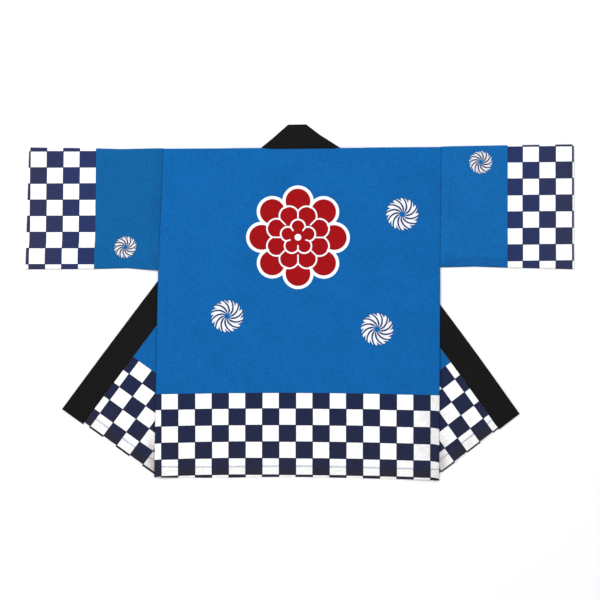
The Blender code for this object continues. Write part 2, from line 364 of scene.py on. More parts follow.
def mesh_shares(length, step, more=()):
    """Shares of a length: close together at both ends, a step apart between, and some more."""
    middle_length = length - 2.0 * EDGE_PLACES[-1]
    middle = np.linspace(EDGE_PLACES[-1], length - EDGE_PLACES[-1], round(middle_length / step) + 1)
    places = np.concatenate([EDGE_PLACES[:-1], middle, (length - EDGE_PLACES[:-1])[::-1]])
    return np.union1d(places, more) / length


# Rows across the body, as in the solids


def edge_points(side, shares):
    """Points of one side edge, at shares of the way from the hem to the shoulder."""
    return between(shares, BODY_SHARES, [level[:2] if side < 0 else level[2:] for level in BODY_LEVELS])


def row_directions(side, shares):
    run = edge_points(-side, shares) - edge_points(side, shares)
    return run / np.linalg.norm(run, axis=-1, keepdims=True)


def row_points(cut, shares, reach):
    """Points at a reach along rows from the side edge."""
    return edge_points(cut.side, shares) + row_directions(cut.side, shares) * np.asarray(reach)[..., None]


def fold_start(cut):
    return row_points(cut, 0.0, cut.fold_inset)


def fold_direction(cut):
    lean = math.radians(cut.fold_lean_degrees)
    return np.array((-cut.side * math.sin(lean), math.cos(lean)))


def turned_over(cut, points):
    """Points of the flat front, mirrored in the fold."""
    offset = points - fold_start(cut)
    along = fold_direction(cut)
    return fold_start(cut) + 2.0 * (offset @ along)[..., None] * along - offset


def seam_x(cut, heights):
    """Where the collar seam of the flat front lies at heights above the hem."""
    known = (0.0, CHEST_ABOVE_HEM, BODY_LENGTH)
    curve = np.polyfit(known, (cut.hem_x, cut.chest_x, cut.shoulder_x), 2)
    bow = cut.bow * np.sin(np.pi * np.clip(heights / BOW_LENGTH, 0.0, 1.0))
    return np.polyval(curve, heights) - cut.side * bow


def seam_reach(cut, shares):
    """Length of rows from the side edge to the collar seam."""
    edge = edge_points(cut.side, shares)
    heights = edge[..., 1] - edge_points(cut.side, 0.0)[1]
    return (seam_x(cut, heights) - edge[..., 0]) / row_directions(cut.side, shares)[..., 0]


def crossed(first, second):
    """Signed area between directions."""
    return first[..., 0] * second[1] - first[..., 1] * second[0]


def fold_reach(cut, shares):
    """Length of rows from the side edge to the fold."""
    offset = fold_start(cut) - edge_points(cut.side, shares)
    along = fold_direction(cut)
    return crossed(offset, along) / crossed(row_directions(cut.side, shares), along)


# Outlines seen from above

OUTLINE_SHARES = np.linspace(0.0, 1.0, 49)


def leg_sections(cut):
    """Outer and inner edge of the straight stretch of collar on one front."""
    heights = edge_points(cut.side, OUTLINE_SHARES)[:, 1] - edge_points(cut.side, 0.0)[1]
    shares = OUTLINE_SHARES[heights <= LEG_LENGTH]
    start = row_points(cut, shares, seam_reach(cut, shares))
    start[0, 1] -= COLLAR_BELOW_HEM
    across = row_directions(cut.side, shares)
    return [turned_over(cut, start + across * reach) for reach in (COLLAR_WIDTH, SEAM_GAP)]


def collar_sections():
    """Outer and inner edge of the whole collar, from the left hem to the right one."""
    neck = np.array(NECK_SECTIONS)
    parts = zip(leg_sections(LEFT_CUT), (neck[:, :2], neck[:, 2:]), leg_sections(RIGHT_CUT))
    return [np.concatenate([left, middle, right[::-1]]) for left, middle, right in parts]


def collar_outline():
    outer, inner = collar_sections()
    return np.concatenate([outer, inner[::-1]])


def flap_outline(cut):
    """The part of a front that is turned outward."""
    shares = OUTLINE_SHARES[fold_reach(cut, OUTLINE_SHARES) < seam_reach(cut, OUTLINE_SHARES)]
    fold = row_points(cut, shares, fold_reach(cut, shares))
    edge = turned_over(cut, row_points(cut, shares, seam_reach(cut, shares)))
    return np.concatenate([fold, edge[::-1]])


def front_outline(cut):
    """The part of a front that lies under the back."""
    reach = np.minimum(fold_reach(cut, OUTLINE_SHARES), seam_reach(cut, OUTLINE_SHARES))
    inner = row_points(cut, OUTLINE_SHARES, reach)
    return np.concatenate([edge_points(cut.side, OUTLINE_SHARES), inner[::-1]])


def distance_to_line(points, line):
    """Distance from points to a line of points."""
    run = np.diff(line, axis=0)
    start, run = line[:-1][run.any(axis=1)], run[run.any(axis=1)]
    nearest = []
    for few in np.array_split(points, len(points) // 2000 + 1):
        offset = few[:, None] - start
        share = np.clip((offset * run).sum(-1) / (run * run).sum(-1), 0.0, 1.0)
        offset -= share[..., None] * run
        nearest.append(np.sqrt((offset * offset).sum(-1).min(-1)))
    return np.concatenate(nearest)


def distance_outside(points, outline):
    """Distance from points to an outline, and 0 inside it."""
    start, end = outline, np.roll(outline, -1, axis=0)
    slanted = start[:, 1] != end[:, 1]
    start, end = start[slanted], end[slanted]
    x, y = points[:, :1], points[:, 1:]
    passed = (start[:, 1] > y) != (end[:, 1] > y)
    at = mix(start[:, 0], end[:, 0], (y - start[:, 1]) / (end[:, 1] - start[:, 1]))
    inside = (passed & (x < at)).sum(-1) % 2 == 1
    distance = distance_to_line(points, np.concatenate([outline, outline[:1]]))
    return np.where(inside, 0.0, distance)


COLLAR_OUTLINE = collar_outline()
FLAP_OUTLINES = [flap_outline(cut) for cut in (LEFT_CUT, RIGHT_CUT)]
FRONT_OUTLINES = [front_outline(cut) for cut in (LEFT_CUT, RIGHT_CUT)]
SIDE_SEAMS = [edge_points(side, BODY_SHARES) for side in (-1, 1)]
BODY_OUTLINE = np.concatenate([SIDE_SEAMS[0], SIDE_SEAMS[1][::-1]])


# Heights of the middle of each layer


def to_nearest(points, lines, distance):
    return np.minimum(*(distance(points, line) for line in lines))


def to_side_seam(points):
    return to_nearest(points, SIDE_SEAMS, distance_to_line)


def settled(distance):
    """1 over what a layer lies on, falling softly to 0 beside it."""
    return falling(distance, LEVEL_PAST_EDGE, RAMP)


def front_height(points):
    """Middle of a layer that lies on the flaps and the collar, or on the surface beside them."""
    to_collar = distance_outside(points, COLLAR_OUTLINE)
    to_flap = to_nearest(points, FLAP_OUTLINES, distance_outside)
    over_flap = (WALL + LOOSE_GAP) * settled(np.minimum(to_collar, to_flap))
    return WALL / 2.0 + over_flap + (COLLAR_THICK - WALL) * settled(to_collar)


def layer_step(points):
    """From the middle of a front to the middle of what lies on it: least at a seam."""
    return WALL + mix(SEAM_GAP, LOOSE_GAP, rising(to_side_seam(points), 0.0, SEAM_PINCH))


def back_height(points):
    """Middle of the back, which lies on the fronts, the collar and the surface between them."""
    to_front = to_nearest(points, FRONT_OUTLINES, distance_outside)
    return front_height(points) + layer_step(points) * settled(to_front)


def crease_height(points, creases):
    """Soft ridges along given lines, fading out towards their ends."""
    height = np.zeros(len(points))
    for crease in creases:
        start = np.array((crease.x1, crease.y1))
        run = np.array((crease.x2, crease.y2)) - start
        share = (points - start) @ run / (run @ run)
        offset = points - start - np.clip(share, 0.0, 1.0)[:, None] * run
        away = np.hypot(offset[:, 0], offset[:, 1])
        fade = np.sin(np.pi * np.clip(share * 0.8 + 0.1, 0.0, 1.0))
        height += crease.height * fade * falling(away, 0.0, crease.width)
    return height


def wave_height(points):
    """The slight unevenness of cloth that was laid out by hand."""
    x, y = points[:, 0], points[:, 1]
    ripple = 2.0 * np.pi * (x + RIPPLE_SLANT * y) / RIPPLE_LENGTH + RIPPLE_TURN
    height = RIPPLE_HEIGHT * (1.0 + np.sin(ripple))
    for wave, along, across in zip(WAVES, (x, y), (y, x)):
        bend = wave.bend * np.sin(2.0 * np.pi * across / wave.bend_length)
        phase = 2.0 * np.pi * (along / wave.length + bend) + wave.turn
        height += wave.height * (1.0 + np.sin(phase))
    return height


def hem_height(heights, sizes):
    """Turned-up cloth under a hem, drawn down along its stitching."""
    turned = rising(heights, 0.0, HEM_ROUND) * falling(heights, sizes.hem_depth, HEM_ROUND)
    drawn = falling(np.abs(heights - sizes.hem_depth), 0.0, HEM_DRAWN_WIDTH)
    return HEM_LIFT * turned - HEM_DRAWN * drawn


def allowance_height(to_seam, sizes):
    """Seam allowance under the cloth beside a seam."""
    return ALLOWANCE_LIFT * falling(to_seam, sizes.allowance, ALLOWANCE_END)


def seam_height(to_seam, sizes):
    """A seam with its allowance on one side, where the cloth rounds down to the seam."""
    allowance = allowance_height(to_seam, sizes) * rising(to_seam, 0.0, EDGE_ROUND)
    return allowance - SEAM_DIP * falling(to_seam, 0.0, SEAM_ROUND)


# Meshes


def with_height(points, heights):
    return np.column_stack([points, heights])


def add_mesh(name, vertices, faces, corner_layers):
    """A smooth mesh object with one UV map for each named array of face corners."""
    mesh = bpy.data.meshes.new(name)
    mesh.from_pydata(vertices.tolist(), [], faces)
    for layer_name, corners in corner_layers.items():
        layer = mesh.uv_layers.new(name=layer_name)
        layer.data.foreach_set("uv", corners.reshape(-1).astype(np.float32))
    mesh.shade_smooth()
    obj = bpy.data.objects.new(name, mesh)
    bpy.context.scene.collection.objects.link(obj)
    return obj


def add_surface(name, rows, layers, ring=False, flip=False, capped=False):
    """A surface through rows of points, which may be shorter further up. In a ring the last point
    joins the first one, and its layers hold one more value in each row. A capped ring is closed."""
    starts = np.cumsum([0] + [len(row) for row in rows])
    order = [0, 3, 2, 1] if flip else [0, 1, 2, 3]
    faces = []
    corners = {layer_name: [] for layer_name in layers}
    for index, (low, high) in enumerate(zip(rows, rows[1:])):
        count = min(len(low), len(high))
        column = np.arange(count if ring else count - 1)
        after = (column + 1) % count if ring else column + 1
        quad = [starts[index] + column, starts[index] + after]
        quad += [starts[index + 1] + after, starts[index + 1] + column]
        faces += np.stack([quad[place] for place in order], axis=1).tolist()
        for layer_name, values in layers.items():
            near, far = values[index], values[index + 1]
            ends = [near[column], near[column + 1], far[column + 1], far[column]]
            corners[layer_name].append(np.stack([ends[place] for place in order], axis=1).reshape(-1, 2))
    if capped:
        faces.append(list(range(starts[1])))
        faces.append(list(range(starts[-2], starts[-1]))[::-1])
        for parts in corners.values():
            parts.append(np.repeat(parts[0][:1], 2 * starts[1], axis=0))
    joined = {layer_name: np.concatenate(parts) for layer_name, parts in corners.items()}
    return add_mesh(name, np.concatenate(rows), faces, joined)


# Back


def hem_rise(points):
    return np.interp(points[:, 0], *HEM_RISE)


def neck_dip(points, shares):
    return np.interp(points[:, 0], *NECK_DIP) * rising(shares * BODY_LENGTH, NECK_DIP_FROM, NECK_DIP_RUN)


def back_coordinates(points):
    """Cloth coordinates on the back, and the height above its hem. The first coordinate is measured
    from a check's edge and the second from the top of the checked band, up the cloth."""
    hem_left, hem_right = edge_points(-1, 0.0), edge_points(1, 0.0)
    x, y = points[:, 0], points[:, 1]
    share = (x - hem_left[0]) / (hem_right[0] - hem_left[0])
    above_hem = y - mix(hem_left[1], hem_right[1], share)
    band = mix(*BACK_CHECK_TOPS, share) + BACK_CHECK_BOW * np.sin(np.pi * np.clip(share, 0.0, 1.0))
    up = above_hem - band
    sag = np.interp(x, *BACK_CHECK_SAG) * rising(-up, 0.0, BACK_CHECK_SAG_RUN)
    up = np.where(up < 0.0, up * BACK_CHECK_SCALE / np.interp(x, *BACK_CHECK_ROW) + sag, up)
    ease = rising(up, -BACK_CHECK_EASE_BELOW, BACK_CHECK_EASE_UP) * falling(up, 0.0, BACK_CHECK_EASE_DOWN)
    across = x - hem_left[0] - BACK_CHECK_LEFT
    return np.column_stack([across, up + BACK_CHECK_EASE * ease]), above_hem - hem_rise(points)


def back_surface(points, sizes):
    """Middle of the back's cloth with its creases, allowances and hem."""
    above_hem = back_coordinates(points)[1]
    height = back_height(points) + crease_height(points, BACK_CREASES) + wave_height(points)
    height += seam_height(to_side_seam(points), sizes) + hem_height(above_hem, sizes)
    shoulder = np.array([edge_points(-1, 1.0), edge_points(1, 1.0)])
    return height - SHOULDER_DIP * falling(distance_to_line(points, shoulder), 0.0, EDGE_ROUND)


def add_back(sizes):
    """One panel from the hem to the shoulder."""
    shares = mesh_shares(BODY_LENGTH, sizes.grid, sizes.hem_depth + STITCHING_PLACES)
    widths = mesh_shares(BODY_WIDTH, sizes.grid)
    left, right = edge_points(-1, shares)[:, None], edge_points(1, shares)[:, None]
    flat = mix(left, right, widths[:, None]).reshape(-1, 2)
    shares_of_points = np.repeat(shares, len(widths))
    flat[:, 1] += hem_rise(flat) * falling(shares_of_points * BODY_LENGTH, HEM_RISE_FROM, HEM_RISE_RUN)
    flat[:, 1] -= neck_dip(flat, shares_of_points)
    coordinates, above_hem = back_coordinates(flat)
    to_seam = to_side_seam(flat) * np.where(flat[:, 0] > 0.0, 1.0, -1.0)
    rows = np.split(with_height(flat, back_surface(flat, sizes)), len(shares))
    cloth = np.split(coordinates, len(shares))
    edges = np.split(np.column_stack([to_seam, above_hem]), len(shares))
    return add_surface("back_cloth", rows, {"Cloth": cloth, "Edges": edges})


# Fronts


def front_coordinates(cut, points, check, sizes):
    """Cloth coordinates on a flat front, from its collar seam and the top of its checked band, and
    the height above its hem."""
    hem_outer = edge_points(cut.side, 0.0)
    slope = row_directions(cut.side, 0.0)
    above_hem = points[:, 1] - hem_outer[1] - (points[:, 0] - hem_outer[0]) * slope[1] / slope[0]
    from_seam = (seam_x(cut, above_hem) - points[:, 0]) * -cut.side
    scale = sizes.check_square / check.square
    across = -cut.side * (from_seam - check.inset) * scale
    return np.column_stack([across, (above_hem - check.top) * scale]), above_hem


def flap_surface(cut, shown, flat, sizes):
    """Middle of the turned cloth, which lies level under the body and slightly uneven beside it."""
    beside = rising(distance_outside(shown, BODY_OUTLINE), 0.0, FLAP_LEVEL_BESIDE_BODY)
    above_hem = front_coordinates(cut, flat, LEFT_FRONT_CHECK, sizes)[1]
    loose = crease_height(shown, FLAP_CREASES) + wave_height(shown)
    return WALL / 2.0 + beside * (loose + hem_height(above_hem, sizes) + FLAP_LIFT)


def add_front(front, sizes):
    """One sheet: the part under the back, the round fold, and the part turned outward."""
    cut = front.cut
    shares = mesh_shares(BODY_LENGTH, sizes.grid, sizes.hem_depth + STITCHING_PLACES)
    under = np.linspace(0.0, 1.0, HIDDEN_FRONT_COLUMNS)
    turned = mesh_shares(FLAP_WIDTH, sizes.grid)[1:]
    turns = np.pi * np.arange(1, FOLD_STEPS + 1) / FOLD_STEPS
    along = fold_direction(cut)
    inward = np.array((-cut.side * along[1], cut.side * along[0]))
    rows, cloth, edges = [], [], []
    for share in shares:
        seam, fold = seam_reach(cut, share), fold_reach(cut, share)
        flat = row_points(cut, share, under * min(seam, fold))
        flat[:, 1] -= neck_dip(flat, share)
        row = with_height(flat, front_height(flat))
        if fold < seam - LEAST_FLAP:
            at_fold = flat[-1]
            radius = (row[-1, 2] - WALL / 2.0) / 2.0
            bend = at_fold + np.outer(radius * np.sin(turns), inward)
            bend = with_height(bend, WALL / 2.0 + radius * (1.0 + np.cos(turns)))
            outer = row_points(cut, share, mix(fold, seam, turned))
            shown = turned_over(cut, outer)
            row = np.concatenate([row, bend, with_height(shown, flap_surface(cut, shown, outer, sizes))])
            flat = np.concatenate([flat, np.repeat(at_fold[None], len(turns), axis=0), outer])
        coordinates, above_hem = front_coordinates(cut, flat, front.check, sizes)
        to_seam = -distance_to_line(flat, edge_points(cut.side, BODY_SHARES))
        # On the turned part, the distance outside the body, so that painted shade darkens the flap beside
        # the body's edge
        to_seam[len(under) :] = distance_outside(row[len(under) :, :2], BODY_OUTLINE)
        rows.append(row)
        cloth.append(coordinates)
        edges.append(np.column_stack([to_seam, above_hem]))
    layers = {"Cloth": cloth, "Edges": edges}
    return add_surface(front.name + "_cloth", rows, layers, flip=cut.side < 0)


# Sleeves


def sleeve_edges(sleeve, shares):
    """Top and bottom edge of a sleeve at shares of the way through its sections."""
    stops = np.linspace(0.0, 1.0, len(sleeve.sections))
    found = between(shares, stops, sleeve.sections)
    return found[..., :2], found[..., 2:]


def sleeve_coordinates(sleeve, points, around, sizes):
    """Cloth coordinates on a sleeve: round it from its top fold, and along it from the check."""
    check = sleeve.check
    x, y = points[:, 0], points[:, 1]
    boundary = mix(check.bottom_x, check.top_x, (y - SLEEVE_LOW) / (SLEEVE_HIGH - SLEEVE_LOW))
    lean = falling(y, SLEEVE_LOW + LEAN_ABOVE_LOW - LEAN_RUN, LEAN_RUN)
    along = (boundary - x) * sleeve.side + check.bottom_lean * lean
    along = along - check.column_ease * rising(-along, 0.0, EASE_RUN)
    across = around - check.first_row - check.fold_ease * falling(around, 0.0, EASE_RUN)
    across = (across + check.slope * along) * sizes.check_square / check.row - sizes.check_square
    return np.column_stack([across, along * sizes.check_square / check.column])


def sleeve_relief(points, to_cuff, to_bottom, sizes):
    """Creases, seam allowances and hem of a sleeve's upper layer."""
    armhole = to_side_seam(points)
    relief = crease_height(points, SLEEVE_CREASES) + wave_height(points) * rising(armhole, 0.0, SLEEVE_EASE)
    relief += seam_height(armhole, sizes) + hem_height(to_cuff, sizes)
    return relief + allowance_height(to_bottom, sizes)


def edge_turn(point, start_z, end_z, outward):
    """Points of the half circle that joins two layers at an edge, without its ends."""
    turns = np.pi * np.arange(1, FOLD_STEPS) / FOLD_STEPS
    around = point + np.outer(abs(end_z - start_z) / 2.0 * np.sin(turns), outward)
    return with_height(around, (start_z + end_z) / 2.0 + (start_z - end_z) / 2.0 * np.cos(turns))


def add_sleeve(sleeve, sizes):
    """A flattened tube, open at the armhole and the cuff."""
    stations = mesh_shares(SLEEVE_LENGTH, sizes.grid, SLEEVE_LENGTH - sizes.hem_depth + STITCHING_PLACES)
    upper = mesh_shares(SLEEVE_DEPTH, sizes.grid, SLEEVE_DEPTH - sizes.allowance - ALLOWANCE_PLACES)
    lower = np.linspace(1.0, 0.0, LOWER_SLEEVE_COLUMNS)
    eased = rising(np.minimum(upper, 1.0 - upper) * SLEEVE_DEPTH, 0.0, SLEEVE_EASE)
    rows, cloth, edges = [], [], []
    for station in stations:
        top, bottom = sleeve_edges(sleeve, station)
        if station == 0.0:
            top[0] += sleeve.side * SEAM_GAP
            bottom[0] += sleeve.side * SEAM_GAP
        down = (bottom - top) / np.linalg.norm(bottom - top)
        high = top + np.outer(upper, bottom - top)
        low = top + np.outer(lower, bottom - top)
        relief = sleeve_relief(high, SLEEVE_LENGTH * (1.0 - station), (1.0 - upper) * SLEEVE_DEPTH, sizes)
        high_z = front_height(high) + layer_step(high) + relief * eased
        low_z = front_height(low)
        bottom_turn = edge_turn(high[-1], high_z[-1], low_z[0], down)
        top_turn = edge_turn(high[0], low_z[-1], high_z[0], -down)
        seam = len(bottom_turn) // 2
        row = np.concatenate([bottom_turn[seam:], with_height(low, low_z), top_turn])
        fold = len(row) - len(top_turn) + seam
        row = np.concatenate([row, with_height(high, high_z), bottom_turn[:seam]])
        ring = np.concatenate([row, row[:1]])
        around = lengths_along(ring)
        plane = ring[:, :2]
        armhole = to_side_seam(plane)
        to_bottom = np.linalg.norm(plane - bottom, axis=1)
        to_seam = np.minimum(armhole, to_bottom)
        shaded = armhole < to_bottom if sleeve.side < 0 else to_bottom < armhole
        rows.append(row)
        cloth.append(sleeve_coordinates(sleeve, plane, around - around[fold], sizes))
        edges.append(np.column_stack([np.where(shaded, to_seam, -to_seam), np.ones(len(ring))]))
    layers = {"Cloth": cloth, "Edges": edges}
    return add_surface(sleeve.name + "_cloth", rows, layers, ring=True, flip=sleeve.side < 0)


# Collar


def resampled(outer, inner, step):
    """Both edges of a band at even steps along its middle, with its corners kept."""
    middle = (outer + inner) / 2.0
    run = lengths_along(middle)
    places = np.linspace(0.0, run[-1], round(run[-1] / step) + 1)
    places = np.sort(np.append(places, (COLLAR_END_RING, run[-1] - COLLAR_END_RING)))
    heading = np.unwrap(np.arctan2(*np.diff(middle, axis=0).T))
    for corner in run[1:-1][np.abs(np.diff(heading)) > CORNER_TURN]:
        places[np.abs(places - corner).argmin()] = corner
    return between(places, run, outer), between(places, run, inner)


def add_collar(sizes):
    """A closed padded band with round edges, from the left hem round the neck to the right hem."""
    outer, inner = collar_sections()
    wider = 1.0 + LEG_WIDER * falling(inner[:, 1], LEG_WIDER_UP_TO, LEG_WIDER_RUN)
    outer = inner + (outer - inner) * wider[:, None]
    outer, inner = resampled(outer, inner, sizes.grid)
    turns = 2.0 * np.pi * np.arange(COLLAR_RING) / COLLAR_RING
    across = 0.5 + 0.5 * rounded(np.cos(turns), COLLAR_EDGE_POWER)
    swell = rounded(np.sin(turns), COLLAR_FACE_POWER)
    to_stitching = np.abs(across * COLLAR_WIDTH - COLLAR_STITCHING)
    dip = COLLAR_DIP * falling(to_stitching, 0.0, COLLAR_DIP_WIDTH) * (swell > 0.0)
    thick = np.full(len(outer), COLLAR_THICK)
    thick[[0, -1]] *= COLLAR_END_SHARE
    around = np.append(across, across[0]) * COLLAR_WIDTH
    rows, cloth = [], []
    for far, near, thickness, along in zip(outer, inner, thick, lengths_along((outer + inner) / 2.0)):
        height = COLLAR_THICK / 2.0 + swell * thickness / 2.0 - dip
        rows.append(with_height(near + np.outer(across, far - near), height))
        cloth.append(np.column_stack([around, np.full(COLLAR_RING + 1, along)]))
    return add_surface("collar_band", rows, {"Cloth": cloth}, ring=True, flip=True, capped=True)


# Sewing

STITCH_SIDES = 6
STITCH_RINGS = 6
STITCH_RISE = 0.7
STITCH_SINK = 0.35
STITCH_TIP = 0.08
THREAD_ABOVE_CLOTH = 0.2
THREAD_IN_COLLAR = 0.00025
HEM_LINE_ENDS = (0.004, 0.002)
BACK_HEM_LINE = np.linspace(0.003, 0.997, 241)[:, None]
CLEAR_OF_BODY = 0.002
CLEAR_OF_BACK = 0.004


def stitch_line(points, sizes):
    """Start and end points of even stitches along a line of points in space."""
    run = lengths_along(points)
    starts = np.arange(sizes.stitch_gap, run[-1] - sizes.stitch, sizes.stitch + sizes.stitch_gap)
    return between(starts, run, points), between(starts + sizes.stitch, run, points)


def add_stitches(name, lines, sizes):
    """One joined mesh of short rounded threads that dip into the cloth at both ends."""
    starts, ends = (np.concatenate(points)[:, None] for points in zip(*lines))
    turns = 2.0 * np.pi * np.arange(STITCH_SIDES) / STITCH_SIDES
    shares = np.linspace(0.0, 1.0, STITCH_RINGS)
    swell = np.sqrt(np.clip(1.0 - (2.0 * shares - 1.0) ** 4, STITCH_TIP, 1.0))
    lift = np.sin(np.pi * shares) * sizes.thread * STITCH_RISE - sizes.thread * STITCH_SINK
    up = np.array((0.0, 0.0, 1.0))
    run = ends - starts
    across = np.cross(run / np.linalg.norm(run, axis=-1, keepdims=True), up)
    centre = starts + shares[:, None] * run + np.outer(lift, up)
    ring = np.cos(turns)[:, None] * across + np.outer(np.sin(turns), up)
    thread = centre[:, :, None] + swell[:, None, None] * ring[:, None] * sizes.thread / 2.0
    side = np.arange(STITCH_SIDES)
    after = (side + 1) % STITCH_SIDES
    low = STITCH_SIDES * np.arange(STITCH_RINGS - 1)[:, None]
    high = low + STITCH_SIDES
    tube = np.stack([low + side, high + side, high + after, low + after], axis=-1).reshape(-1, 4)
    first = STITCH_SIDES * STITCH_RINGS * np.arange(len(starts))
    faces = (tube + first[:, None, None]).reshape(-1, 4).tolist()
    return add_mesh(name, thread.reshape(-1, 3), faces, {})


def on_cloth(points, heights, sizes):
    """Points of a thread on the outside of the cloth."""
    return with_height(points, heights + sizes.shell / 2.0 + sizes.thread * THREAD_ABOVE_CLOTH)


def back_hem_line(sizes):
    ends = edge_points(-1, 0.0), edge_points(1, 0.0)
    flat = mix(*ends, BACK_HEM_LINE) + np.array((0.0, sizes.hem_depth))
    flat[:, 1] += hem_rise(flat)
    return on_cloth(flat, back_surface(flat, sizes), sizes)


def front_hem_line(cut, sizes):
    """The hem stitching of a front, on the part that is turned outward."""
    share = sizes.hem_depth / BODY_LENGTH
    start = fold_reach(cut, share) + HEM_LINE_ENDS[0]
    end = seam_reach(cut, share) - HEM_LINE_ENDS[1]
    flat = row_points(cut, share, np.linspace(start, end, 81))
    shown = turned_over(cut, flat)
    line = on_cloth(shown, flap_surface(cut, shown, flat, sizes), sizes)
    return line[distance_outside(shown, BODY_OUTLINE) > CLEAR_OF_BODY]


def collar_line(cut):
    """Topstitching beside the seam of the collar on the part of a front that is turned outward."""
    outer, inner = leg_sections(cut)
    flat = mix(inner, outer, COLLAR_STITCHING / COLLAR_WIDTH)
    flat = flat[distance_outside(flat, BODY_OUTLINE) > CLEAR_OF_BACK]
    return with_height(flat, np.full(len(flat), COLLAR_THICK - THREAD_IN_COLLAR))


# Shader nodes


class Nodes:
    """Adds linked nodes to one shader tree."""

    def __init__(self, tree):
        self.tree = tree

    def put(self, kind, *values, **settings):
        """Adds a node with its settings and feeds its first sockets."""
        node = self.tree.nodes.new(kind)
        for key, value in settings.items():
            setattr(node, key, value)
        for socket, value in zip(node.inputs, values):
            self.feed(socket, value)
        return node

    def feed(self, socket, value):
        """Links an output to a socket, or sets the socket to a value."""
        if isinstance(value, bpy.types.NodeSocket):
            self.tree.links.new(value, socket)
        else:
            socket.default_value = value

    def feed_named(self, node, values):
        for key, value in values.items():
            self.feed(node.inputs[key], value)
        return node.outputs

    def calc(self, operation, *values, clamp=False):
        return self.put("ShaderNodeMath", *values, operation=operation, use_clamp=clamp).outputs[0]

    def times(self, *values):
        return self.calc("MULTIPLY", *values)

    def plus(self, *values):
        return self.calc("ADD", *values)

    def minus(self, *values, clamp=False):
        return self.calc("SUBTRACT", *values, clamp=clamp)

    def vector(self, operation, *values):
        return self.put("ShaderNodeVectorMath", *values, operation=operation).outputs["Vector"]

    def length(self, vector):
        return self.put("ShaderNodeVectorMath", vector, operation="LENGTH").outputs["Value"]

    def split(self, vector):
        """The first two coordinates of a vector."""
        return self.put("ShaderNodeSeparateXYZ", vector).outputs[:2]

    def step_up(self, value, low, high):
        """0 below the first value and 1 above the second, with a soft edge."""
        settings = {"interpolation_type": "SMOOTHSTEP", "clamp": True}
        return self.put("ShaderNodeMapRange", value, low, high, 0.0, 1.0, **settings).outputs["Result"]

    def step_down(self, value, low, high):
        return self.minus(1.0, self.step_up(value, low, high))

    def mix(self, share, first, second, blend="MIX"):
        """Mixes two colours, each an output or three numbers."""
        node = self.put("ShaderNodeMix", share, data_type="RGBA", blend_type=blend, clamp_factor=True)
        for socket, color in zip(node.inputs[6:8], (first, second)):
            self.feed(socket, color if isinstance(color, bpy.types.NodeSocket) else (*color, 1.0))
        return node.outputs[2]

    def grey(self, value):
        return self.put("ShaderNodeCombineColor", value, value, value).outputs[0]

    def shaded(self, color, value):
        """A colour made lighter or darker by a value around 1."""
        return self.mix(1.0, color, self.grey(value), "MULTIPLY")

    def noise(self, vector, scale, detail=2.0, roughness=0.5):
        values = {"Vector": vector, "Scale": scale, "Detail": detail, "Roughness": roughness}
        return self.feed_named(self.put("ShaderNodeTexNoise"), values)["Fac"]

    def uneven(self, vector, scale, detail=2.0, roughness=0.5):
        """Noise around 0."""
        return self.minus(self.noise(vector, scale, detail, roughness), 0.5)

    def uv_map(self, name):
        return self.put("ShaderNodeUVMap", uv_map=name).outputs[0]

    def group(self, name, **values):
        """Places a group with its own values and returns its outputs."""
        if name not in bpy.data.node_groups:
            GROUPS[name](name)
        node = self.put("ShaderNodeGroup", node_tree=bpy.data.node_groups[name])
        return self.feed_named(node, {key.replace("_", " "): value for key, value in values.items()})


# Shader groups

PRINT_WOBBLE = 0.0006
PRINT_SOFT = 0.0002
NOTCH_AT = 0.58
NOTCH_WIDTH = 0.22
NOTCH_DEPTH = 0.20
EVEN_GAP_FROM = 0.34
PETAL_SOFT = (-0.005, 0.005)
OUTER_BORDER = (-0.066, -0.056)
INNER_BORDER = (-0.036, -0.028)
PETAL_SLIT = (0.010, 0.018)
HEART = (0.060, 0.070)
SLUB_STRETCHES = ((1.0, 0.12, 1.0), (0.12, 1.0, 1.0))
SLUB_SCALE = 420.0
CLOUD_SCALE = 11.0
SPECK_SCALE = 190.0
DITCH = (0.0003, 0.0028)
DITCH_SHADE = 0.22
ALLOWANCE_EDGE = (0.0003, 0.0030)
ALLOWANCE_SHADE = 0.06
TURNED_EDGE = (-0.009, 0.003)
STITCHING_WIDTH = (0.0006, 0.0044)
STREAK_SCALE = (30.0, 150.0, 1.0)
LOW_CLOTH = (0.040, 0.075)


def start_group(name, inputs, outputs):
    """An empty node group. Its inputs are vectors where no value is given, and numbers otherwise."""
    tree = bpy.data.node_groups.new(name, "ShaderNodeTree")
    for socket_name, value in inputs.items():
        kind = "NodeSocketVector" if value is None else "NodeSocketFloat"
        socket = tree.interface.new_socket(name=socket_name, in_out="INPUT", socket_type=kind)
        if value is not None:
            socket.default_value = value
    for socket_name in outputs:
        tree.interface.new_socket(name=socket_name, in_out="OUTPUT", socket_type="NodeSocketFloat")
    nodes = Nodes(tree)
    given = nodes.put("NodeGroupInput").outputs
    return nodes, given, nodes.put("NodeGroupOutput").inputs


